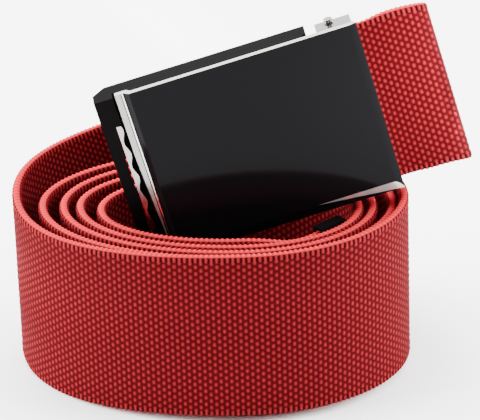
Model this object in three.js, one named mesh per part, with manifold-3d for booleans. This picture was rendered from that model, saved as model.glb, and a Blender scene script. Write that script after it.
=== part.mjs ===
// An elastic stretch belt, rolled up for storage: one woven strap that stands on its edge in an
// oval coil, and a flip-top plate buckle, closed, on the strap's outer end. The buckle stands in
// the coil with its long side rising to the right, as the springy strap holds it.
// Millimetres. +X runs to the right, +Y away from the viewer, +Z up. The origin is on the floor,
// under the middle of the whole belt.

import * as THREE from 'three';
import { mergeVertices } from 'three/addons/utils/BufferGeometryUtils.js';
import Module from 'manifold-3d';

const wasm = await Module();
wasm.setup();

// Driving dimensions: the strap
const strapWidth = 38;
const strapThickness = 2.0;
const selvedgeRound = 0.55;       // how far the rounded edge is cut back on each face
const layerGap = 0.35;            // air between two turns that lie against each other
const clampedThickness = 1.2;     // the strap where the clamp's jaw presses it
const tippedThickness = 1.2;      // and inside the metal tip

// Driving dimensions: the coil, to the strap's middle surface
const coilLeft = 47.0;            // the outer turn's reach to the left
const coilRight = 35.0;           // and to the right
const coilDepth = 62.0;           // from the front of the outer turn to its back
const outerTurnLift = 1.5;        // the outer turn sits this much higher than the others
const foldReach = 9.0;            // the strap's fold stands this far out past the coil
const foldBack = 4.4;             // how far the fold's outermost line is behind the clamp
const foldSink = 2.1;             // and how far it sags below the buckle's slope
const foldRise = -0.5;           // the rise at the fold, for each millimetre back
const foldLean = 15;              // degrees, the fold's top to the left
const straightRun = 8.0;          // how far the strap runs on straight, past the clamp
const climbLift = 15.5;           // the outer turn's lift where it climbs at the back
const climbLean = 24;             // degrees, its lean there
const tailHeading = 42;           // degrees, where the inner turn's free end points
const tailX = 15.8;               // where the straight free end starts
const tailLayers = 6.2;           // and how many layers behind the coil's front

// Driving dimensions: the buckle
const plateLength = 51.5;
const plateOverhang = 0.6;        // how far the plate stands out past the channel, above and below
const plateThickness = 1.2;
const plateBevel = 2.2;           // the polished slope along the plate's lower edge
const plateBevelDepth = 0.55;
const joggleDepth = 1.0;          // how far the plate's left lip is set back
const lipLength = 1.9;
const endCurl = 0.5;              // how far the plate's right end bends back
const curlRadius = 4;
const channelWall = 0.8;
const channelOverlap = 0.3;       // how far each flange stands out past the strap's edge
const channelOverhang = 4.6;      // how far the channel reaches past the plate on the left
const channelLength = 45.7;
const channelDepth = 6.1;         // from the flanges' front edges to the floor's back
const channelCorner = 2.6;        // the cut corners at the flanges' ends
const tongueWidth = 26;           // the floor's tongue that carries the clamp
const clampSpace = 2.15;          // from the flanges' right ends to the clamp
const clampLength = 7.5;
const clampWall = 0.6;
const clampPinDiameter = 0.9;
const clampPinShare = 0.4;        // where the pin stands along the clamp
const pinHeadDiameter = 1.8;
const pinHeadProud = 0.6;
const jawThickness = 0.7;
const barrelWall = 0.3;
const hingePinDiameter = 1.8;
const hingeInset = 5.5;           // from the plate's left end to the hinge's axis
const hingeDepth = 3.6;           // from the plate's front to the hinge's axis
const hingeSocket = 0.5;          // how far the flanges' blind sockets go in
const earWall = 1.0;
const earWidth = 4.4;
const gripLength = 25;            // the wavy grip strip, across the strap
const gripWidth = 1.2;
const gripWave = 0.35;
const gripPitch = 5.7;
const gripThickness = 0.7;
const tipLength = 7;              // the metal tip on the strap's free end
const tipDrop = 0.9;              // how much lower than the strap's edge it ends, above and below
const tipWall = 0.4;
const clearance = 0.3;            // between two pieces that touch or slide

// Driving dimensions: where the buckle stands
const buckleYaw = 5.5;            // degrees, the right end further from the viewer
const buckleTilt = 14.3;          // degrees, the right end higher
const buckleX = 5.3;              // the middle of the plate's front
const buckleY = 19.0;
const buckleSink = 2.7;           // the plate's lower edge, below the coil's top

// Sizes that follow from these
const layer = strapThickness + layerGap;
const channelHeight = strapWidth + 2 * channelOverlap;
const plateHeight = channelHeight + 2 * plateOverhang;
const gatheredWidth = channelHeight - 2 * (clampWall + clearance);
const tipHeight = strapWidth - 2 * tipDrop;
const buckleZ = strapWidth + plateHeight / 2 - buckleSink;
const plateLeft = -plateLength / 2;
const plateRight = plateLength / 2;
const flangeFront = plateThickness + clearance;
const floorBack = flangeFront + channelDepth;
const floorFront = floorBack - channelWall;
const flangeOutside = channelHeight / 2;
const flangeInside = flangeOutside - channelWall;
const channelLeft = plateLeft - channelOverhang;
const flangeRight = channelLeft + channelLength;
const bridgeRight = plateLeft - 2 * clearance;
const hingeX = plateLeft + hingeInset;
const clampLeft = flangeRight + clampSpace;
const clampRight = clampLeft + clampLength;
const clampFront = flangeFront + endCurl;
const clampBack = floorFront - clearance;
const clampPinRadius = clampPinDiameter / 2;
const barrelRadius = clampPinRadius + clearance + barrelWall;
const strapInClampY = clampFront + clampWall + clearance + clampedThickness / 2;
const jawFront = strapInClampY + clampedThickness / 2 + clearance;
const clampPinX = clampLeft + clampLength * clampPinShare;
const clampPinY = jawFront + barrelRadius;
const strapStart = clampLeft + clearance;
const tippedWidth = tipHeight - 2 * (clearance + tipWall);

const degrees = Math.PI / 180;
const arcHandle = 0.5523;         // a cubic curve's handle for a quarter of an ellipse
const halfHeight = strapWidth / 2;

// Materials
const webbing = new THREE.MeshStandardMaterial({ color: 0xc8454b, roughness: 0.9, metalness: 0 });
const enamel = new THREE.MeshStandardMaterial({ color: 0x1c1b1d, roughness: 0.12, metalness: 0.1 });
const blackPaint = new THREE.MeshStandardMaterial({ color: 0x232225, roughness: 0.4, metalness: 0.1 });
const nickel = new THREE.MeshStandardMaterial({ color: 0xd5d4d0, roughness: 0.2, metalness: 1 });

// A solid from a closed geometry, and a geometry from a solid
function solid(geometry) {
  const bare = geometry.index ? geometry.toNonIndexed() : geometry.clone();
  bare.deleteAttribute('normal');
  bare.deleteAttribute('uv');
  const merged = mergeVertices(bare, 1e-4);
  return new wasm.Manifold(new wasm.Mesh({
    numProp: 3,
    vertProperties: new Float32Array(merged.attributes.position.array),
    triVerts: new Uint32Array(merged.index.array),
  }));
}

function geometryOf(manifold) {
  const mesh = manifold.getMesh();
  const geometry = new THREE.BufferGeometry();
  geometry.setAttribute('position', new THREE.BufferAttribute(new Float32Array(mesh.vertProperties), 3));
  geometry.setIndex(new THREE.BufferAttribute(new Uint32Array(mesh.triVerts), 1));
  geometry.computeVertexNormals();
  return geometry;
}

// A flat outline in the buckle's plan, drawn out across the strap from z0 to z1
function prism(points, z0, z1) {
  const shape = new THREE.Shape(points.map(([x, y]) => new THREE.Vector2(x, y)));
  const geometry = new THREE.ExtrudeGeometry(shape, { depth: z1 - z0, bevelEnabled: false });
  return solid(geometry.translate(0, 0, z0));
}

function block(x0, x1, y0, y1, z0, z1) {
  return prism([[x0, y0], [x1, y0], [x1, y1], [x0, y1]], z0, z1);
}

// A round bar across the strap
function bar(x, y, radius, z0, z1) {
  const geometry = new THREE.CylinderGeometry(radius, radius, z1 - z0, 20);
  return solid(geometry.rotateX(Math.PI / 2).translate(x, y, (z0 + z1) / 2));
}

// A sheet's cross-section: its front line from left to right, and that line set back
function sheetOutline(front, thickness) {
  const last = front.length - 1;
  const heading = (i) => Math.atan2(front[i + 1][1] - front[i][1], front[i + 1][0] - front[i][0]);
  const back = front.map(([x, y], i) => {
    const before = heading(Math.max(i - 1, 0));
    const after = heading(Math.min(i, last - 1));
    const reach = thickness / Math.cos((after - before) / 2);
    const turn = (before + after + Math.PI) / 2;
    return [x + reach * Math.cos(turn), y + reach * Math.sin(turn)];
  });
  return [...front, ...back.reverse()];
}

// The wedge that cuts the polished slope along the plate's lower edge
function edgeWedge() {
  const slope = Math.atan2(plateBevelDepth, plateBevel);
  const size = 4 * plateBevel;
  const wedge = new THREE.BoxGeometry(2 * plateLength, size, size);
  wedge.translate(0, -size / 2, 0).rotateX(slope);
  return solid(wedge.translate(0, 0, plateBevel - plateHeight / 2));
}

// The flip-top plate: a flat front, a lip set back on the left, a right end that bends back, a
// polished slope along the lower edge and two ears that turn on the hinge pin
function coverPlate() {
  const front = [
    [plateLeft, joggleDepth],
    [plateLeft + lipLength, joggleDepth],
    [plateLeft + lipLength + joggleDepth, 0],
  ];
  const curlAngle = Math.acos(1 - endCurl / curlRadius);
  const curlSteps = 5;
  for (let i = 0; i <= curlSteps; i += 1) {
    const turned = curlAngle * i / curlSteps;
    const x = plateRight - curlRadius * (Math.sin(curlAngle) - Math.sin(turned));
    front.push([x, curlRadius * (1 - Math.cos(turned))]);
  }
  let plate = prism(sheetOutline(front, plateThickness), -plateHeight / 2, plateHeight / 2)
    .subtract(edgeWedge());
  const earOutside = flangeInside - clearance;
  for (const side of [-1, 1]) {
    const z0 = side > 0 ? earOutside - earWall : -earOutside;
    const z1 = z0 + earWall;
    const ear = block(hingeX - earWidth / 2, hingeX + earWidth / 2, plateThickness / 2, hingeDepth, z0, z1)
      .add(bar(hingeX, hingeDepth, earWidth / 2, z0, z1))
      .intersect(block(channelLeft, flangeRight, 0, floorFront - clearance, z0, z1));
    plate = plate.add(ear.subtract(bar(hingeX, hingeDepth, hingePinDiameter / 2 + clearance, z0, z1)));
  }
  return plate;
}

// The black channel behind the plate: a floor, two flanges with cut corners, a bridge over the
// mouth on the left, and a narrow tongue on the right that carries the clamp. The flanges are cut
// down beside the bridge, so that the plate's lip can swing in.
function baseChannel() {
  const flange = [
    [channelLeft, flangeFront],
    [bridgeRight, flangeFront],
    [bridgeRight, hingeDepth + clearance],
    [hingeX, flangeFront],
    [flangeRight - channelCorner, flangeFront],
    [flangeRight, flangeFront + channelCorner],
    [flangeRight, floorBack],
    [channelLeft + channelCorner, floorBack],
    [channelLeft, floorBack - channelCorner],
  ];
  const side = flangeOutside;
  const tongue = tongueWidth / 2;
  const gripHalf = gripLength / 2 + clearance;
  let channel = block(channelLeft + channelCorner, flangeRight, floorFront, floorBack, -side, side)
    .add(block(flangeRight - channelWall, clampRight, floorFront, floorBack, -tongue, tongue))
    .add(block(channelLeft, bridgeRight, flangeFront, flangeFront + channelWall, -side, side))
    .subtract(block(bridgeRight - gripWidth - clearance, plateLeft, 0, floorFront, -gripHalf, gripHalf));
  for (const z0 of [-flangeOutside, flangeInside]) {
    channel = channel.add(prism(flange, z0, z0 + channelWall));
  }
  const deep = flangeInside + hingeSocket;
  return channel.subtract(bar(hingeX, hingeDepth, hingePinDiameter / 2 + clearance, -deep, deep));
}

// The nickel strip at the mouth's inner edge: a straight left side and a wavy right side
function gripStrip() {
  const left = bridgeRight - gripWidth;
  const steps = 48;
  const points = [[left, -gripLength / 2]];
  for (let i = 0; i <= steps; i += 1) {
    const along = gripLength * (i / steps - 0.5);
    const wave = gripWave * Math.cos(2 * Math.PI * along / gripPitch);
    points.push([bridgeRight - gripWave + wave, along]);
  }
  points.push([left, gripLength / 2]);
  const shape = new THREE.Shape(points.map(([x, z]) => new THREE.Vector2(x, z)));
  const strip = new THREE.ExtrudeGeometry(shape, { depth: gripThickness, bevelEnabled: false });
  return solid(strip.rotateX(Math.PI / 2).translate(0, flangeFront + gripThickness + clearance, 0));
}

// The nickel clamp on the strap's fixed end: a wall before the strap and an ear at each side
function endClamp() {
  const side = flangeOutside;
  let clamp = block(clampLeft, clampRight, clampFront, clampFront + clampWall, -side, side);
  for (const z0 of [-side, side - clampWall]) {
    clamp = clamp.add(block(clampLeft, clampRight, clampFront, clampBack, z0, z0 + clampWall));
  }
  return clamp.subtract(bar(clampPinX, clampPinY, clampPinRadius + clearance, -plateHeight, plateHeight));
}

// The jaw that presses the strap on the clamp's wall: a barrel on the clamp's pin, and a flap
function clampJaw() {
  const reach = flangeOutside - clampWall - clearance;
  const flap = block(clampPinX, clampRight - clearance, jawFront, jawFront + jawThickness, -reach, reach);
  return bar(clampPinX, clampPinY, barrelRadius, -reach, reach)
    .add(flap)
    .subtract(bar(clampPinX, clampPinY, clampPinRadius + clearance, -reach - 1, reach + 1));
}

// The clamp's pin, with a low head outside each ear
function clampPin() {
  const headStart = flangeOutside + clearance;
  return bar(clampPinX, clampPinY, clampPinRadius, -headStart - pinHeadProud, headStart + pinHeadProud)
    .add(bar(clampPinX, clampPinY, pinHeadDiameter / 2, headStart, headStart + pinHeadProud))
    .add(bar(clampPinX, clampPinY, pinHeadDiameter / 2, -headStart - pinHeadProud, -headStart));
}

function hingePin() {
  const half = flangeInside + hingeSocket - clearance;
  return bar(hingeX, hingeDepth, hingePinDiameter / 2, -half, half);
}

// The buckle's place: its own frame runs along the plate, back from it, and up across the strap.
const buckle = new THREE.Matrix4().makeTranslation(buckleX, buckleY, buckleZ)
  .multiply(new THREE.Matrix4().makeRotationZ(buckleYaw * degrees))
  .multiply(new THREE.Matrix4().makeRotationY(-buckleTilt * degrees));

// The turns of the coil. Where a turn passes each side, `inside` says how many layers it lies
// inside the outer oval, and `along` where on that side, as a share of the reach to the right
// for the front and the back, and of the depth for the left and the right.
const turns = [
  { side: 'back', inside: 0, along: 0.23, lift: climbLift, rise: -0.42, lean: climbLean },
  { side: 'left', inside: 0, along: 0.537, lift: outerTurnLift, rise: -0.18, lean: 0 },
  { side: 'front', inside: 0, along: 0.04, lift: outerTurnLift, rise: 0, lean: 0 },
  { side: 'right', inside: 0, along: 0.423, lift: outerTurnLift, rise: 0, lean: 0 },
  { side: 'back', inside: 3.8, along: 0, lift: 0, rise: 0, lean: 0 },
  { side: 'left', inside: 2.4, along: 0.474, lift: 0, rise: 0, lean: 0 },
  { side: 'front', inside: 1, along: 0.04, lift: 0, rise: 0, lean: 0 },
  { side: 'right', inside: 1.05, along: 0.413, lift: 0, rise: 0, lean: 0 },
  { side: 'back', inside: 5.2, along: 0, lift: 0, rise: 0, lean: 0 },
  { side: 'left', inside: 4.3, along: 0.465, lift: 0, rise: 0, lean: 0 },
  { side: 'front', inside: 2, along: 0.04, lift: 0, rise: 0, lean: 0 },
  { side: 'right', inside: 2.85, along: 0.392, lift: 0, rise: 0, lean: 0 },
  { side: 'back', inside: 6.9, along: 0, lift: 0, rise: 0, lean: 0 },
  { side: 'left', inside: 5.8, along: 0.455, lift: 0, rise: 0, lean: 0 },
  { side: 'front', inside: 3, along: 0.04, lift: 0, rise: 0, lean: 0 },
  { side: 'right', inside: 4.1, along: 0.38, lift: 0, rise: 0, lean: 0 },
  { side: 'back', inside: 8.6, along: 0, lift: 0, rise: 0, lean: 0 },
  { side: 'left', inside: 7.7, along: 0.423, lift: 0, rise: 0, lean: 0 },
  { side: 'front', inside: 4.2, along: 0, lift: 0, rise: 0, lean: 0 },
];
const headings = { front: 0, right: 90, back: 180, left: 270 };

function turnPlace({ side, inside, along }) {
  const inward = inside * layer;
  if (side === 'front') return [along * coilRight, inward];
  if (side === 'back') return [along * coilRight, coilDepth - inward];
  if (side === 'left') return [inward - coilLeft, along * coilDepth];
  return [coilRight - inward, along * coilDepth];
}

// The strap's way, from the clamp outwards round the fold, then through the coil's turns to the
// free end. Each knot has a place in the plan, the height of the strap's middle, the heading in
// degrees from +X, the rise for each millimetre forward, the lean and the section's size.
function strapKnots() {
  const full = { width: strapWidth, thickness: strapThickness };
  const climb = Math.tan(buckleTilt * degrees);
  const inClamp = {
    heading: buckleYaw, rise: climb, lean: buckleTilt, width: gatheredWidth, thickness: clampedThickness,
  };
  const start = new THREE.Vector3(strapStart, strapInClampY, 0).applyMatrix4(buckle);
  const leave = new THREE.Vector3(clampRight + 2 * clearance, strapInClampY, 0).applyMatrix4(buckle);
  const run = new THREE.Vector3(clampRight + straightRun, strapInClampY, 0).applyMatrix4(buckle);
  const foldX = coilRight + foldReach;
  const knots = [
    { ...inClamp, x: start.x, y: start.y, z: start.z },
    { ...inClamp, x: leave.x, y: leave.y, z: leave.z },
    { ...inClamp, ...full, x: run.x, y: run.y, z: run.z },
    {
      ...full, x: foldX, y: leave.y + foldBack, z: leave.z + climb * (foldX - leave.x) - foldSink,
      heading: 90, rise: foldRise, lean: foldLean,
    },
  ];
  for (const turn of turns) {
    const [x, y] = turnPlace(turn);
    const z = halfHeight + turn.lift;
    knots.push({ ...full, x, y, z, heading: headings[turn.side], rise: turn.rise, lean: turn.lean });
  }
  const tail = {
    x: tailX, y: tailLayers * layer, z: halfHeight, heading: tailHeading, rise: 0, lean: 0,
    width: tippedWidth, thickness: tippedThickness,
  };
  knots.push(tail, {
    ...tail,
    x: tail.x + tipLength * Math.cos(tailHeading * degrees),
    y: tail.y + tipLength * Math.sin(tailHeading * degrees),
  });
  return knots;
}

// Stations along the strap: the middle, the width and the thickness axes, and the section's size
const stationsInSpan = 14;
const shortSpan = 12;
const stationsInShortSpan = 4;
const upright = new THREE.Vector3(0, 0, 1);

function strapStations() {
  const knots = strapKnots();
  const stations = [];
  for (let k = 0; k + 1 < knots.length; k += 1) {
    const a = knots[k];
    const b = knots[k + 1];
    const aim = [a, b].map(({ heading }) => [Math.cos(heading * degrees), Math.sin(heading * degrees)]);
    const reach = aim.map(([x, y]) => arcHandle * Math.abs((b.x - a.x) * x + (b.y - a.y) * y));
    const bend = new THREE.CubicBezierCurve3(
      new THREE.Vector3(a.x, a.y, a.z),
      new THREE.Vector3(a.x + aim[0][0] * reach[0], a.y + aim[0][1] * reach[0], a.z + a.rise * reach[0]),
      new THREE.Vector3(b.x - aim[1][0] * reach[1], b.y - aim[1][1] * reach[1], b.z - b.rise * reach[1]),
      new THREE.Vector3(b.x, b.y, b.z),
    );
    const last = k + 2 === knots.length;
    const steps = bend.getLength() < shortSpan ? stationsInShortSpan : stationsInSpan;
    for (let i = 0; i < steps + (last ? 1 : 0); i += 1) {
      const t = i / steps;
      const mix = (name) => a[name] + (b[name] - a[name]) * t * t * (3 - 2 * t);
      const middle = bend.getPoint(t);
      const forward = bend.getTangent(t);
      const lean = mix('lean') * degrees;
      const up = new THREE.Vector3(-Math.sin(lean), 0, Math.cos(lean));
      up.applyAxisAngle(upright, buckleYaw * degrees);
      const out = new THREE.Vector3().crossVectors(forward, up).normalize();
      stations.push({ middle, up, out, width: mix('width'), thickness: mix('thickness') });
    }
  }
  return stations;
}

// A closed solid through a ring of points at each station
function loft(rings) {
  const count = rings[0].length;
  const position = rings.flat().flatMap(({ x, y, z }) => [x, y, z]);
  const index = [];
  for (let i = 0; i + 1 < rings.length; i += 1) {
    for (let j = 0; j < count; j += 1) {
      const a = i * count + j;
      const b = i * count + (j + 1) % count;
      index.push(a, b, b + count, a, b + count, a + count);
    }
  }
  const end = (rings.length - 1) * count;
  for (let j = 1; j + 1 < count; j += 1) {
    index.push(0, j + 1, j, end, end + j, end + j + 1);
  }
  const geometry = new THREE.BufferGeometry();
  geometry.setAttribute('position', new THREE.BufferAttribute(new Float32Array(position), 3));
  geometry.setIndex(index);
  geometry.computeVertexNormals();
  return geometry;
}

function beltStrap(stations) {
  return loft(stations.map(({ middle, up, out, width, thickness }) => {
    const w = width / 2;
    const t = thickness / 2;
    const r = Math.min(selvedgeRound, 0.8 * t);
    const half = [[w, t - r], [w - r, t], [r - w, t], [-w, t - r]];
    const section = [...half, ...half.map(([a, b]) => [-a, -b])];
    return section.map(([a, b]) => middle.clone().addScaledVector(up, a).addScaledVector(out, b));
  }));
}

// The metal tip: a sleeve round the strap's last stretch, closed at its end
function strapTip(stations) {
  const { middle, up, out } = stations[stations.length - 1];
  const forward = new THREE.Vector3().crossVectors(up, out);
  const depth = tippedThickness + 2 * (clearance + tipWall);
  const outer = new THREE.BoxGeometry(tipLength, depth, tipHeight);
  const inner = new THREE.BoxGeometry(tipLength, depth - 2 * tipWall, tipHeight - 2 * tipWall);
  const sleeve = solid(outer).subtract(solid(inner.translate(-tipWall, 0, 0)));
  const place = new THREE.Matrix4().makeBasis(forward, out.clone().negate(), up);
  place.setPosition(middle.clone().addScaledVector(forward, tipWall + clearance - tipLength / 2));
  return geometryOf(sleeve).applyMatrix4(place);
}

function named(name, geometry, material) {
  const mesh = new THREE.Mesh(geometry, material);
  mesh.name = name;
  return mesh;
}

const stations = strapStations();

const belt = new THREE.Group();
belt.add(named('belt_strap', beltStrap(stations), webbing));
belt.add(named('strap_tip', strapTip(stations), blackPaint));

const buckleGroup = new THREE.Group();
buckleGroup.position.set(buckleX, buckleY, buckleZ);
buckleGroup.rotation.z = buckleYaw * degrees;
const tilted = new THREE.Group();
tilted.rotation.y = -buckleTilt * degrees;
tilted.add(named('cover_plate', geometryOf(coverPlate()), enamel));
tilted.add(named('base_channel', geometryOf(baseChannel()), blackPaint));
tilted.add(named('grip_strip', geometryOf(gripStrip()), nickel));
tilted.add(named('end_clamp', geometryOf(endClamp()), nickel));
tilted.add(named('clamp_jaw', geometryOf(clampJaw()), nickel));
tilted.add(named('clamp_pin', geometryOf(clampPin()), nickel));
tilted.add(named('hinge_pin', geometryOf(hingePin()), nickel));
buckleGroup.add(tilted);
belt.add(buckleGroup);

// The origin goes on the floor under the middle of the belt.
const reach = new THREE.Box3().setFromObject(belt);
belt.position.set(-(reach.min.x + reach.max.x) / 2, -(reach.min.y + reach.max.y) / 2, -reach.min.z);

export default belt;
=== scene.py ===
import functools
import math

import bpy
import mathutils
import numpy as np
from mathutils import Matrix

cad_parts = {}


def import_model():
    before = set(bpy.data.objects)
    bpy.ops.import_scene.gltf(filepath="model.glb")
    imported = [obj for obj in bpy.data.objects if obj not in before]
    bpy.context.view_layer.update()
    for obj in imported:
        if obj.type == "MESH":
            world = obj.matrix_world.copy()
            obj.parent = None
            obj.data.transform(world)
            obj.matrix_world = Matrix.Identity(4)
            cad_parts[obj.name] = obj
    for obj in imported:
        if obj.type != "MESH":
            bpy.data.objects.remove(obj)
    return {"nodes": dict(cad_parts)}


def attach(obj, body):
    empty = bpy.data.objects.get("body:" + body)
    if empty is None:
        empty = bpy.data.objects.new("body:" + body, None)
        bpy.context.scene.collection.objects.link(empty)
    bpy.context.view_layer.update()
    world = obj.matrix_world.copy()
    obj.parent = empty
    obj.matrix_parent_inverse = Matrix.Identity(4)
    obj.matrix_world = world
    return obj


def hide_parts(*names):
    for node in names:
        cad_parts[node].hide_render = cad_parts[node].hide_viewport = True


cad_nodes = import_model()["nodes"]
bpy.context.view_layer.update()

MM = 0.001

# The strap, in millimetres
STRAP_WIDTH = 38.0
STRAP_THICKNESS = 2.0
SELVEDGE_ROUND = 0.75
ROUND_LIMIT = 0.8         # the most of half the thickness that the round takes
CLAMPED_THICKNESS = 1.2
TIPPED_THICKNESS = 1.2
GATHERED_WIDTH = 36.8
TIPPED_WIDTH = 34.8
LAYER = 2.35
RIB_PITCH = 1.09          # along the strap, from one rib of the weave to the next
BEADS_ACROSS = 24         # the beads of one rib
RELIEF = 0.16             # how far a bead stands over the gaps round it
TOOTH = 0.25              # how far the selvedge dips between two ribs
TOOTH_ZONE = 1.5          # beside each edge, where the ribs run through with no beads
TOOTH_SHARPNESS = 1.6     # over 1, it narrows the painted highlight in the middle of each tooth
CREST_HIGHLIGHT = 0.2               # the width of the painted highlight along the crest of each edge
EDGE_STEPS = 4
FACE_STEPS = 2 * BEADS_ACROSS
SPAN_SAMPLES = 240
STRAP_PIECES = 3          # meshes in a row, to keep each one light

# The coil, to the strap's middle surface
COIL_LEFT = 47.0
COIL_RIGHT = 35.0
COIL_DEPTH = 62.0
OUTER_LIFT = 1.5
FOLD_REACH = 9.0
FOLD_BACK = 4.4
FOLD_SINK = 2.1
FOLD_RISE = -0.5
FOLD_LEAN = 15.0
STRAIGHT_RUN = 8.0
CLIMB_LEAN = 24.0
TAIL_HEADING = 42.0
TAIL_X = 15.8
TAIL_LAYERS = 6.2
TIP_LENGTH = 7.0

# The buckle: its place, and the sizes that its pieces are painted by
CLEARANCE = 0.3
BUCKLE_YAW = 5.5
BUCKLE_TILT = 14.3
BUCKLE_AT = (5.3, 19.0, 55.2)
PLATE_LENGTH = 51.5
PLATE_HEIGHT = 39.8
FRONT_DEPTH = 1.6         # faces deeper than this are on the ears
PLATE_BEVEL = 2.2
LIP_REFLECTION_WIDTH = 1.2            # the width of the lip's grey reflection, painted in metal
LIP_THINS = (5.0, -20.0)  # the heights between which it thins away
LIP_REFLECTION_SHARE = 0.5
RIDGE_AT = 1.55           # the highlight painted in metal on the ridge beside it
RIDGE_WIDTH = 0.28
SLOPE_START = 33.0        # along the plate, where the reflection painted on the slope runs out
SLOPE_REFLECTION_SHARE = 0.6
CLAMP_LEFT = 17.5
CLAMP_RIGHT = 25.0
STRAP_IN_CLAMP = 3.5

# The origin of the frame in the coil's own plan
PLAN_SHIFT = np.array([-0.8552, -31.3592, 0.0])

ARC_HANDLE = 0.5523       # the handle that makes a cubic curve follow a quarter circle

# Pattern scales, in repeats per metre
PEEL_SCALE = 1800.0       # orange peel of about half a millimetre
CLOUD_SCALE = 60.0        # duller patches of 17 mm in the gloss
WAVE_SCALE = 35.0         # slow waves of 29 mm in the plate
BRUSH_STRETCH = (900.0, 900.0, 90.0)
BRUSH_SCALE = 4.0         # brush lines a quarter of a millimetre wide, coarser than real ones

# The same in repeats per millimetre, along and across the webbing
FIBRE_STRETCH = (6.0, 2.0, 1.0)
FIBRE_SCALE = 1.6         # fibres a tenth of a millimetre wide
WORN_SCALE = 0.05         # lighter patches of 20 mm

# Places on the webbing's colour ramp, which paints its light and shade: the painted shade of the gaps, the
# beads' painted highlights and the lowest part of the crest's painted highlight
GAP_SHADE_TONE = 0.1
BEAD_HIGHLIGHT_TONE = 0.65
CREST_HIGHLIGHT_TONE = 0.7

# Colours that more than one place uses, in sRGB
ENAMEL = "0b0a0c"
NICKEL = "d3d1cb"

# A face is on the plate's front, or on its lower slope, where its normal's share is under these
FACING_FRONT = -0.5
FACING_DOWN = -0.15

FLOOR_REACH = 1.5         # in metres

CAMERA_ELEVATION = 28.0
CAMERA_ROLL = 2.0
CAMERA_DISTANCE = 720.0
AIM = (0.0, 0.0, 39.5)
FOCAL_LENGTH = 264.6
SHIFT_Y = 0.0929

MATH = "ShaderNodeMath"
VECTOR_MATH = "ShaderNodeVectorMath"
NOISE = "ShaderNodeTexNoise"

# The colour sockets of a Mix node, which share their names with its other sockets
MIX_A, MIX_B, MIX_RESULT = 6, 7, 2


def linear(hex_colour):
    """sRGB hex to a linear RGBA tuple."""
    out = []
    for i in (0, 2, 4):
        c = int(hex_colour[i : i + 2], 16) / 255
        out.append(c / 12.92 if c <= 0.04045 else ((c + 0.055) / 1.055) ** 2.4)
    return (*out, 1.0)


def add_node(tree, kind, inputs=(), output=0, **settings):
    """Adds a node and gives one of its outputs. Inputs, by place or by name, are values or other outputs."""
    node = tree.nodes.new(kind)
    for name, value in settings.items():
        setattr(node, name, value)
    for name, value in inputs.items() if isinstance(inputs, dict) else enumerate(inputs):
        socket = node.inputs[name]
        if isinstance(value, bpy.types.NodeSocket):
            tree.links.new(value, socket)
        else:
            socket.default_value = value
    return node.outputs[output] if node.outputs else None


def new_object(name, data):
    obj = bpy.data.objects.new(name, data)
    bpy.context.scene.collection.objects.link(obj)
    return obj


# The strap's way: knots, then stations between them


def turned(heading):
    a = math.radians(heading)
    return np.array([math.cos(a), math.sin(a)])


def buckle_matrix():
    yaw, tilt = math.radians(BUCKLE_YAW), math.radians(BUCKLE_TILT)
    cy, sy, ct, st = math.cos(yaw), math.sin(yaw), math.cos(tilt), math.sin(tilt)
    turn_z = np.array([[cy, -sy, 0], [sy, cy, 0], [0, 0, 1]])
    turn_y = np.array([[ct, 0, -st], [0, 1, 0], [st, 0, ct]])
    return turn_z @ turn_y


def in_buckle(x, y, z):
    return buckle_matrix() @ np.array([x, y, z]) + np.array(BUCKLE_AT)


# Each row: side, layers inside the outer oval, share along the side, lift, rise, lean
TURNS = [
    ("back", 0, 0.23, 15.5, -0.42, CLIMB_LEAN),
    ("left", 0, 0.537, OUTER_LIFT, -0.18, 0),
    ("front", 0, 0.04, OUTER_LIFT, 0, 0),
    ("right", 0, 0.423, OUTER_LIFT, 0, 0),
    ("back", 3.8, 0, 0, 0, 0),
    ("left", 2.4, 0.474, 0, 0, 0),
    ("front", 1, 0.04, 0, 0, 0),
    ("right", 1.05, 0.413, 0, 0, 0),
    ("back", 5.2, 0, 0, 0, 0),
    ("left", 4.3, 0.465, 0, 0, 0),
    ("front", 2, 0.04, 0, 0, 0),
    ("right", 2.85, 0.392, 0, 0, 0),
    ("back", 6.9, 0, 0, 0, 0),
    ("left", 5.8, 0.455, 0, 0, 0),
    ("front", 3, 0.04, 0, 0, 0),
    ("right", 4.1, 0.38, 0, 0, 0),
    ("back", 8.6, 0, 0, 0, 0),
    ("left", 7.7, 0.423, 0, 0, 0),
    ("front", 4.2, 0, 0, 0, 0),
]
HEADINGS = {"front": 0, "right": 90, "back": 180, "left": 270}


def turn_place(side, inside, along):
    inward = inside * LAYER
    return {
        "front": (along * COIL_RIGHT, inward),
        "back": (along * COIL_RIGHT, COIL_DEPTH - inward),
        "left": (inward - COIL_LEFT, along * COIL_DEPTH),
        "right": (COIL_RIGHT - inward, along * COIL_DEPTH),
    }[side]


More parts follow.
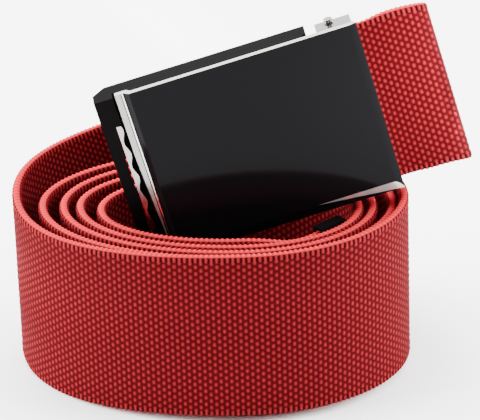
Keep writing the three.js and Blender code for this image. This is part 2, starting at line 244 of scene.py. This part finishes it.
def knots():
    """Rows of place, heading, rise, lean, width and thickness."""
    climb = math.tan(math.radians(BUCKLE_TILT))
    start = in_buckle(CLAMP_LEFT + CLEARANCE, STRAP_IN_CLAMP, 0)
    leave = in_buckle(CLAMP_RIGHT + 2 * CLEARANCE, STRAP_IN_CLAMP, 0)
    run = in_buckle(CLAMP_RIGHT + STRAIGHT_RUN, STRAP_IN_CLAMP, 0)
    fold_x = COIL_RIGHT + FOLD_REACH
    fold_z = leave[2] + climb * (fold_x - leave[0]) - FOLD_SINK
    fold = np.array([fold_x, leave[1] + FOLD_BACK, fold_z])
    full = (STRAP_WIDTH, STRAP_THICKNESS)
    clamped = (BUCKLE_YAW, climb, BUCKLE_TILT, GATHERED_WIDTH, CLAMPED_THICKNESS)
    rows = [
        (start, *clamped),
        (leave, *clamped),
        (run, BUCKLE_YAW, climb, BUCKLE_TILT, *full),
        (fold, 90, FOLD_RISE, FOLD_LEAN, *full),
    ]
    for side, inside, along, lift, rise, lean in TURNS:
        x, y = turn_place(side, inside, along)
        rows.append((np.array([x, y, STRAP_WIDTH / 2 + lift]), HEADINGS[side], rise, lean, *full))
    tail = np.array([TAIL_X, TAIL_LAYERS * LAYER, STRAP_WIDTH / 2])
    step = np.append(turned(TAIL_HEADING), 0) * TIP_LENGTH
    for place in (tail, tail + step):
        rows.append((place, TAIL_HEADING, 0, 0, TIPPED_WIDTH, TIPPED_THICKNESS))
    return rows


def spans():
    """Fine samples of middle, direction, lean, width and thickness along the whole strap."""
    rows = knots()
    out = []
    for k, (a, b) in enumerate(zip(rows, rows[1:])):
        aims = [turned(a[1]), turned(b[1])]
        chord = (b[0] - a[0])[:2]
        reach = [ARC_HANDLE * abs(chord @ aim) for aim in aims]
        p0, p3 = a[0], b[0]
        p1 = p0 + np.append(aims[0], a[2]) * reach[0]
        p2 = p3 - np.append(aims[1], b[2]) * reach[1]
        t = np.linspace(0, 1, SPAN_SAMPLES, endpoint=k + 2 == len(rows))[:, None]
        s = 1 - t
        middle = s**3 * p0 + 3 * s * s * t * p1 + 3 * s * t * t * p2 + t**3 * p3
        ahead = 3 * (s * s * (p1 - p0) + 2 * s * t * (p2 - p1) + t * t * (p3 - p2))
        mix = t * t * (3 - 2 * t)
        extra = np.array(a[3:6]) * (1 - mix) + np.array(b[3:6]) * mix
        out.append(np.hstack([middle, ahead, extra]))
    return np.vstack(out)


def stations():
    """Stations two to a rib: middle, up, out, width, thickness and the distance along the strap."""
    fine = spans()
    length = np.append(0, np.cumsum(np.linalg.norm(np.diff(fine[:, :3], axis=0), axis=1)))
    count = 2 * int(round(length[-1] / RIB_PITCH)) + 1
    at = np.linspace(0, length[-1], count)
    rows = np.column_stack([np.interp(at, length, fine[:, i]) for i in range(fine.shape[1])])
    lean = np.radians(rows[:, 6])
    yaw = math.radians(BUCKLE_YAW)
    up = np.column_stack([-np.sin(lean) * math.cos(yaw), -np.sin(lean) * math.sin(yaw), np.cos(lean)])
    out = np.cross(rows[:, 3:6], up)
    out /= np.linalg.norm(out, axis=1, keepdims=True)
    return rows[:, :3] + PLAN_SHIFT, up, out, rows[:, 7], rows[:, 8], at


def section(width, thickness):
    """The strap's outline at one station: rows of up, out and face, which is 1, -1 or 0 on an edge."""
    w, t = width / 2, thickness / 2
    r = min(SELVEDGE_ROUND, ROUND_LIMIT * t)
    out = []
    for face in (1, -1):
        for i in range(FACE_STEPS + 1):
            a = face * (w - r) * (1 - 2 * i / FACE_STEPS)
            out.append((a, face * t, face))
        for i in range(1, EDGE_STEPS):
            turn = math.pi * i / EDGE_STEPS
            out.append((-face * (w - r + r * math.sin(turn)), face * t * math.cos(turn), 0))
    return np.array(out)


def strap_meshes():
    """The strap's plain tube, as a few meshes in a row, with what the weave needs on each vertex."""
    middle, up, out, width, thickness, at = stations()
    widest = section(STRAP_WIDTH, STRAP_THICKNESS)
    ring = len(widest)
    cuts = np.linspace(0, len(middle) - 1, STRAP_PIECES + 1).round().astype(int)
    made = []
    for number, (start, end) in enumerate(zip(cuts, cuts[1:]), 1):
        rows = range(start, end + 1)
        shapes = [section(width[i], thickness[i]) for i in rows]
        points = [
            middle[i] + np.outer(shape[:, 0], up[i]) + np.outer(shape[:, 1], out[i])
            for i, shape in zip(rows, shapes)
        ]
        quads = []
        for i in range(len(rows) - 1):
            for j in range(ring):
                a, b = i * ring + j, i * ring + (j + 1) % ring
                quads.append((a, b, b + ring, a + ring))
        if number == 1:
            quads.append(tuple(range(ring))[::-1])
        if number == STRAP_PIECES:
            quads.append(tuple(range((len(rows) - 1) * ring, len(rows) * ring)))
        mesh = bpy.data.meshes.new(f"webbing_{number}")
        mesh.from_pydata((np.vstack(points) * MM).tolist(), [], quads)
        mesh.shade_smooth()
        along = np.repeat(at[start : end + 1], ring)
        across = np.tile(widest[:, 0], len(rows))
        for name, kind, field, data in (
            ("along", "FLOAT", "value", along),
            ("across", "FLOAT", "value", across),
            ("face", "FLOAT", "value", np.concatenate([shape[:, 2] for shape in shapes])),
            ("outward", "FLOAT_VECTOR", "vector", np.repeat(out[start : end + 1], ring, axis=0)),
            ("upward", "FLOAT_VECTOR", "vector", np.repeat(up[start : end + 1], ring, axis=0)),
        ):
            values = data.astype(np.float32).ravel()
            mesh.attributes.new(name, kind, "POINT").data.foreach_set(field, values)
        corners = np.empty(len(mesh.loops), dtype=np.int32)
        mesh.loops.foreach_get("vertex_index", corners)
        flat = np.column_stack([along[corners], across[corners]])
        mesh.uv_layers.new(name="cloth").data.foreach_set("uv", flat.astype(np.float32).ravel())
        made.append(new_object(mesh.name, mesh))
    return made


def weave_waves(add, along, across, rib_pitch, bead_pitch):
    """Waves, from 0 to 1, over a rib and over its beads, and 1 in the toothed zone beside each edge."""
    ribs = add(MATH, (along, rib_pitch), operation="DIVIDE")
    turn = add(MATH, (ribs, 2 * math.pi), operation="MULTIPLY")
    # 1 in the middle of a rib and 0 between two
    rib_wave = add(MATH, (add(MATH, (turn,), operation="COSINE"), -0.5, 0.5), operation="MULTIPLY_ADD")
    # Every other rib has its beads half a step further, as bricks are laid
    row = add(MATH, (ribs,), operation="FLOOR")
    brick = add(MATH, (add(MATH, (row, 2.0), operation="FLOORED_MODULO"), 0.5), operation="MULTIPLY")
    beads = add(MATH, (add(MATH, (across, bead_pitch), operation="DIVIDE"), brick), operation="ADD")
    turn = add(MATH, (beads, 2 * math.pi), operation="MULTIPLY")
    bead_wave = add(MATH, (add(MATH, (turn,), operation="COSINE"), 0.5, 0.5), operation="MULTIPLY_ADD")
    from_middle = add(MATH, (across,), operation="ABSOLUTE")
    toothed = add(MATH, (from_middle, STRAP_WIDTH / 2 - TOOTH_ZONE), operation="GREATER_THAN")
    return rib_wave, bead_wave, toothed


def weave_tree(material):
    """Geometry Nodes: presses the weave's gaps into the faces, and dips the selvedge between ribs."""
    tree = bpy.data.node_groups.new("Weave relief", "GeometryNodeTree")
    face = tree.interface
    face.new_socket("Geometry", in_out="INPUT", socket_type="NodeSocketGeometry")
    for name, value in (
        ("Rib pitch", RIB_PITCH),
        ("Bead pitch", STRAP_WIDTH / BEADS_ACROSS),
        ("Relief", RELIEF),
        ("Tooth", TOOTH),
    ):
        face.new_socket(name, in_out="INPUT", socket_type="NodeSocketFloat").default_value = value
    face.new_socket("Geometry", in_out="OUTPUT", socket_type="NodeSocketGeometry")
    add = functools.partial(add_node, tree)
    given = ("Geometry", "Rib pitch", "Bead pitch", "Relief", "Tooth")
    geometry, rib_pitch, bead_pitch, relief, tooth = (add("NodeGroupInput", output=name) for name in given)
    along, across, side, outward, upward = (
        add("GeometryNodeInputNamedAttribute", {"Name": name}, output="Attribute", data_type=kind)
        for name, kind in (
            ("along", "FLOAT"),
            ("across", "FLOAT"),
            ("face", "FLOAT"),
            ("outward", "FLOAT_VECTOR"),
            ("upward", "FLOAT_VECTOR"),
        )
    )
    rib_wave, bead_wave, toothed = weave_waves(add, along, across, rib_pitch, bead_pitch)
    bead = add(MATH, (bead_wave, toothed), operation="MAXIMUM")
    crown = add(MATH, (rib_wave, bead), operation="MULTIPLY")
    drop = add(MATH, (add(MATH, (crown, 1.0), operation="SUBTRACT"), relief), operation="MULTIPLY")
    sunk = add(MATH, (add(MATH, (drop, side), operation="MULTIPLY"), MM), operation="MULTIPLY")
    on_face = add(VECTOR_MATH, {0: outward, "Scale": sunk}, operation="SCALE")
    on_edge = add(MATH, (1.0, add(MATH, (side,), operation="ABSOLUTE")), operation="SUBTRACT")
    depth = add(MATH, (on_edge, tooth), operation="MULTIPLY")
    dip = add(MATH, (add(MATH, (rib_wave, 1.0), operation="SUBTRACT"), depth), operation="MULTIPLY")
    dip = add(MATH, (dip, add(MATH, (across,), operation="SIGN")), operation="MULTIPLY")
    dip = add(MATH, (dip, MM), operation="MULTIPLY")
    edge = add(VECTOR_MATH, {0: upward, "Scale": dip}, operation="SCALE")
    offset = add(VECTOR_MATH, (on_face, edge), operation="ADD")
    moved = add("GeometryNodeSetPosition", {"Geometry": geometry, "Offset": offset})
    real = add("GeometryNodeRealizeInstances", {"Geometry": moved})
    dressed = add("GeometryNodeSetMaterial", {"Geometry": real, "Material": material})
    add("NodeGroupOutput", {"Geometry": dressed})
    return tree


def work_in(piece, tree):
    """Works the weave into the piece's own mesh."""
    modifier = piece.modifiers.new("Weave relief", "NODES")
    modifier.node_group = tree
    graph = bpy.context.evaluated_depsgraph_get()
    result = bpy.data.meshes.new_from_object(piece.evaluated_get(graph), depsgraph=graph)
    piece.modifiers.clear()
    plain = piece.data
    result.name = plain.name
    piece.data = result
    bpy.data.meshes.remove(plain)
    piece.name = result.name


# Materials


def new_material(name, colour, roughness, specular=0.5, metallic=0.0):
    """A material, what adds its nodes, what links them, and its shader's inputs."""
    material = bpy.data.materials.new(name)
    material.use_nodes = True
    tree = material.node_tree
    shader = tree.nodes["Principled BSDF"].inputs
    shader["Base Color"].default_value = linear(colour)
    shader["Roughness"].default_value = roughness
    shader["Metallic"].default_value = metallic
    shader["Specular IOR Level"].default_value = specular
    return material, functools.partial(add_node, tree), tree.links.new, shader


def webbing_material():
    """Woven elastic: matt red yarn in ribs of beads, with painted shade in the gaps and painted highlights
    on the beads and the edges' crests, with fine fibres over both.
    """
    material, add, link, shader = new_material("Woven elastic webbing", "7d060d", 0.85, specular=0.04)
    uv = add("ShaderNodeUVMap", output="UV", uv_map="cloth")
    along = add("ShaderNodeSeparateXYZ", (uv,), output="X")
    across = add("ShaderNodeSeparateXYZ", (uv,), output="Y")
    bead_pitch = STRAP_WIDTH / BEADS_ACROSS
    rib_wave, bead_wave, toothed = weave_waves(add, along, across, RIB_PITCH, bead_pitch)
    # Teeth and beads are part of the way up the ramp, lighter in their middles as painted highlights, and
    # the crest of each edge is at its top as a painted highlight
    sharp = add(MATH, (rib_wave, TOOTH_SHARPNESS), operation="POWER")
    tooth = add(MATH, (sharp, toothed), operation="MULTIPLY")
    bead = add(MATH, (rib_wave, bead_wave), operation="MULTIPLY")
    crown = add(MATH, (add(MATH, (bead, tooth), operation="MAXIMUM"), BEAD_HIGHLIGHT_TONE), operation="MULTIPLY")
    # Between beads the ramp paints shade; between two teeth of the selvedge the painted shade is darker
    gap_shade = add(MATH, (toothed, -GAP_SHADE_TONE, GAP_SHADE_TONE), operation="MULTIPLY_ADD")
    crown = add(MATH, (crown, gap_shade), operation="MAXIMUM")
    from_middle = add(MATH, (across,), operation="ABSOLUTE")
    # The crest of each edge is painted lighter, as a highlight
    crest = add(MATH, (from_middle, STRAP_WIDTH / 2 - CREST_HIGHLIGHT), operation="GREATER_THAN")
    crest_highlight_tone = add(MATH, (rib_wave, 1 - CREST_HIGHLIGHT_TONE, CREST_HIGHLIGHT_TONE), operation="MULTIPLY_ADD")
    crest = add(MATH, (crest, crest_highlight_tone), operation="MULTIPLY")
    crown = add(MATH, (crown, crest), operation="MAXIMUM")
    fibre_place = add(VECTOR_MATH, (uv, FIBRE_STRETCH), operation="MULTIPLY")
    fibre = add(NOISE, {"Vector": fibre_place, "Scale": FIBRE_SCALE, "Detail": 4.0, "Roughness": 0.6})
    worn = add(NOISE, {"Vector": uv, "Scale": WORN_SCALE, "Detail": 2.0})
    ramp = add("ShaderNodeValToRGB", (crown,))
    stops = ramp.node.color_ramp.elements
    stops[0].position, stops[0].color = 0.0, linear("120002")
    stops[1].position, stops[1].color = 1.0, linear("b4242b")
    for position, shade in ((GAP_SHADE_TONE, "3a0105"), (0.2, "5c0c12"), (0.55, "6e1419")):
        stops.new(position).color = linear(shade)
    fibre_tone = add(MATH, (fibre, 0.36, 0.78), operation="MULTIPLY_ADD")
    worn_tone = add(MATH, (worn, 0.12, -0.02), operation="MULTIPLY_ADD")
    tone = add(MATH, (fibre_tone, worn_tone), operation="ADD")
    link(add("ShaderNodeHueSaturation", {"Color": ramp, "Value": tone}), shader["Base Color"])
    rounded = add(MATH, (crown, 0.6), operation="POWER")
    fuzz = add(MATH, (fibre, 0.35), operation="MULTIPLY")
    height = add(MATH, (rounded, fuzz), operation="ADD")
    link(add("ShaderNodeBump", {"Height": height, "Strength": 0.8, "Distance": 0.18 * MM}), shader["Normal"])
    return material


def black_paint_material():
    """Sprayed black paint on the channel and the tip: a soft half gloss with a faint orange peel."""
    material, add, link, shader = new_material("Half-gloss black paint", "070607", 0.5, specular=0.02)
    place = add("ShaderNodeTexCoord", output="Object")
    grain = add(NOISE, {"Vector": place, "Scale": PEEL_SCALE, "Detail": 2.0})
    bump = add("ShaderNodeBump", {"Height": grain, "Strength": 0.15, "Distance": 0.03 * MM})
    link(bump, shader["Normal"])
    return material


def enamel_material(name, painted_shine):
    """Black enamel, dipped and glossy, with metal painted in as highlights and reflections.

    bare(add, x, z) gives the share of metal at x, from the plate's left end, and z, up from its middle.
    """
    material, add, link, shader = new_material(name, ENAMEL, 0.1, specular=0.035)
    place = add("ShaderNodeTexCoord", output="Object")
    middle = np.array(BUCKLE_AT) + PLAN_SHIFT
    spots = []
    for column, start in ((0, PLATE_LENGTH / 2), (2, 0.0)):
        axis = buckle_matrix()[:, column]
        aim = tuple(float(v) / MM for v in axis)
        along = add(VECTOR_MATH, (place, aim), output="Value", operation="DOT_PRODUCT")
        spots.append(add(MATH, (along, float(middle @ axis) - start), operation="SUBTRACT"))
    share = painted_shine(add, *spots)
    cloudy = add(NOISE, {"Vector": place, "Scale": CLOUD_SCALE, "Detail": 3.0})
    gloss = add(MATH, (cloudy, 0.1, 0.06), operation="MULTIPLY_ADD")
    link(add(MATH, (share, 0.14, gloss), operation="MULTIPLY_ADD"), shader["Roughness"])
    link(share, shader["Metallic"])
    colours = {"Factor": share, MIX_A: linear(ENAMEL), MIX_B: linear(NICKEL)}
    link(add("ShaderNodeMix", colours, MIX_RESULT, data_type="RGBA"), shader["Base Color"])
    wave = add(NOISE, {"Vector": place, "Scale": WAVE_SCALE, "Detail": 1.0})
    link(add("ShaderNodeBump", {"Height": wave, "Strength": 0.12, "Distance": 0.4 * MM}), shader["Normal"])
    return material


def painted_lip_and_ridge_shine(add, x, z):
    """Metal painted as the lip's grey reflection, and as the highlight on the thin ridge where the front
    steps back to the lip.
    """
    top, bottom = LIP_THINS
    down = add(MATH, (add(MATH, (z, top), operation="SUBTRACT"), bottom - top), operation="DIVIDE")
    start = add(MATH, (add(MATH, (down, 0.0), operation="MAXIMUM"), LIP_REFLECTION_WIDTH), operation="MULTIPLY")
    right = add(MATH, (x, start), operation="GREATER_THAN")
    left = add(MATH, (x, LIP_REFLECTION_WIDTH), operation="LESS_THAN")
    lip = add(MATH, (right, left), operation="MULTIPLY")
    from_ridge = add(MATH, (add(MATH, (x, RIDGE_AT), operation="SUBTRACT"),), operation="ABSOLUTE")
    ridge = add(MATH, (from_ridge, RIDGE_WIDTH / 2), operation="LESS_THAN")
    return add(MATH, (add(MATH, (lip, LIP_REFLECTION_SHARE), operation="MULTIPLY"), ridge), operation="MAXIMUM")


def painted_slope_reflection(add, x, z):
    """Metal painted on the lower slope as a reflection, widest at the plate's right end."""
    past_start = add(MATH, (x, SLOPE_START), operation="SUBTRACT")
    along = add(MATH, (past_start, PLATE_LENGTH - SLOPE_START), operation="DIVIDE")
    drop = add(MATH, (along, PLATE_BEVEL), operation="MULTIPLY")
    split = add(MATH, (PLATE_BEVEL - PLATE_HEIGHT / 2, drop), operation="SUBTRACT")
    painted_reflection = add(MATH, (z, split), operation="GREATER_THAN")
    return add(MATH, (painted_reflection, SLOPE_REFLECTION_SHARE), operation="MULTIPLY")


def nickel_material(name, colour):
    """Nickel plate: bright metal with fine brushing that breaks up what it mirrors."""
    material, add, link, shader = new_material(name, colour, 0.2, metallic=1.0)
    place = add("ShaderNodeTexCoord", output="Object")
    stretched = add(VECTOR_MATH, (place, BRUSH_STRETCH), operation="MULTIPLY")
    brushed = add(NOISE, {"Vector": stretched, "Scale": BRUSH_SCALE, "Detail": 2.0})
    rough = add(MATH, (brushed, 0.14, 0.13), operation="MULTIPLY_ADD")
    link(rough, shader["Roughness"])
    return material


# The buckle


def painted_plate(nickel, front_enamel, slope_reflection_enamel):
    """A copy of the cover plate with its front enamelled, a reflection painted on its lower slope and the
    rest bright.
    """
    source = cad_nodes["cover_plate"]
    mesh = source.data.copy()
    mesh.name = "enamelled_plate"
    mesh.transform(source.matrix_world)
    mesh.materials.clear()
    for material in (nickel, front_enamel, slope_reflection_enamel):
        mesh.materials.append(material)
    for polygon in mesh.polygons:
        _, forward, up = np.array(polygon.normal) @ buckle_matrix()
        depth = ((np.array(polygon.center) / MM - PLAN_SHIFT - np.array(BUCKLE_AT)) @ buckle_matrix())[1]
        in_front = forward < FACING_FRONT and depth < FRONT_DEPTH
        polygon.material_index = (2 if up < FACING_DOWN else 1) if in_front else 0
    return new_object("enamelled_plate", mesh)


def round_edges(obj, width):
    """Small rounded edges on a piece with sharp ones."""
    bevel = obj.modifiers.new("Rounded edges", "BEVEL")
    bevel.width = width * MM
    bevel.segments = 2
    bevel.limit_method = "ANGLE"
    bevel.angle_limit = math.radians(25)
    bevel.harden_normals = True


webbing = webbing_material()
black_paint = black_paint_material()
nickel = nickel_material("Nickel plate", NICKEL)
dull_nickel = nickel_material("Dull nickel plate", "8f8c8b")
# The front's enamel has the lip's reflection and the ridge's highlight painted on in metal
front_enamel = enamel_material("Glossy black enamel", painted_lip_and_ridge_shine)
# The lower slope's enamel has a reflection painted on it in metal, widest at the right end
slope_reflection_enamel = enamel_material("Lower slope with painted reflection", painted_slope_reflection)

weave = weave_tree(webbing)
for piece in strap_meshes():
    work_in(piece, weave)
    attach(piece, "belt")
    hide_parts("belt_strap")

plate = painted_plate(nickel, front_enamel, slope_reflection_enamel)
round_edges(plate, 0.15)
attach(plate, "cover")
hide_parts("cover_plate")

# Each CAD piece that is kept: its material and the width of its rounded edges
for name, material, width in (
    ("base_channel", black_paint, 0.12),
    ("strap_tip", black_paint, 0.12),
    ("end_clamp", dull_nickel, 0.1),
    ("clamp_jaw", dull_nickel, 0.06),
    ("clamp_pin", dull_nickel, 0.08),
    ("hinge_pin", nickel, 0.1),
    ("grip_strip", dull_nickel, 0.06),
):
    for place in cad_nodes[name].material_slots:
        place.link = "OBJECT"
        place.material = material
    round_edges(cad_nodes[name], width)


# The floor, the lights and the camera


def new_floor():
    mesh = bpy.data.meshes.new("floor")
    corners = [(x * FLOOR_REACH, y * FLOOR_REACH, 0) for x, y in ((-1, -1), (1, -1), (1, 1), (-1, 1))]
    mesh.from_pydata(corners, [], [(0, 1, 2, 3)])
    mesh.materials.append(new_material("Pale paper", "fdfdfd", 0.9)[0])
    return new_object("floor", mesh)


def new_light(name, place, aim, size, power, spread):
    data = bpy.data.lights.new(name, "AREA")
    data.shape = "RECTANGLE"
    data.size, data.size_y = size
    data.energy = power
    data.spread = math.radians(spread)
    obj = new_object(name, data)
    obj.location = place
    away = obj.location - mathutils.Vector(aim)
    obj.rotation_euler = away.to_track_quat("Z", "Y").to_euler()


def new_camera():
    e, r = math.radians(CAMERA_ELEVATION), math.radians(CAMERA_ROLL)
    forward = np.array([0, math.cos(e), -math.sin(e)])
    right = np.array([1.0, 0, 0])
    up = np.array([0, math.sin(e), math.cos(e)])
    x = right * math.cos(r) - up * math.sin(r)
    y = right * math.sin(r) + up * math.cos(r)
    place = (np.array(AIM) + PLAN_SHIFT - forward * CAMERA_DISTANCE) * MM
    matrix = np.eye(4)
    matrix[:3] = np.column_stack([x, y, -forward, place])
    data = bpy.data.cameras.new("camera")
    data.sensor_fit = "HORIZONTAL"
    data.lens = FOCAL_LENGTH
    data.shift_y = SHIFT_Y
    data.clip_start, data.clip_end = 0.05, 10.0
    obj = new_object("camera", data)
    obj.matrix_world = mathutils.Matrix(matrix.tolist())
    return obj


new_floor()
# In metres, watts and degrees; the lamp brightens the fold at the right
middle = (0.0, 0.0, 0.04)
new_light("left softbox", (-0.6, 0.0, 0.3), middle, (0.5, 0.5), 22.0, 180.0)
new_light("right softbox", (0.6, 0.0, 0.3), middle, (0.5, 0.5), 22.0, 180.0)
new_light("top softbox", (0.0, 0.25, 0.9), middle, (1.0, 0.8), 38.0, 180.0)
new_light("back softbox", (0.0, 1.2, 0.62), middle, (1.8, 0.6), 14.0, 180.0)
new_light("fold lamp", (0.3, -0.6, 0.3), (0.05, -0.01, 0.075), (0.04, 0.04), 0.03, 5.0)

world = bpy.data.worlds.new("white studio")
world.use_nodes = True
backdrop = world.node_tree.nodes["Background"].inputs
backdrop["Color"].default_value = linear("ffffff")
backdrop["Strength"].default_value = 0.12
bpy.context.scene.world = world
bpy.context.scene.camera = new_camera()
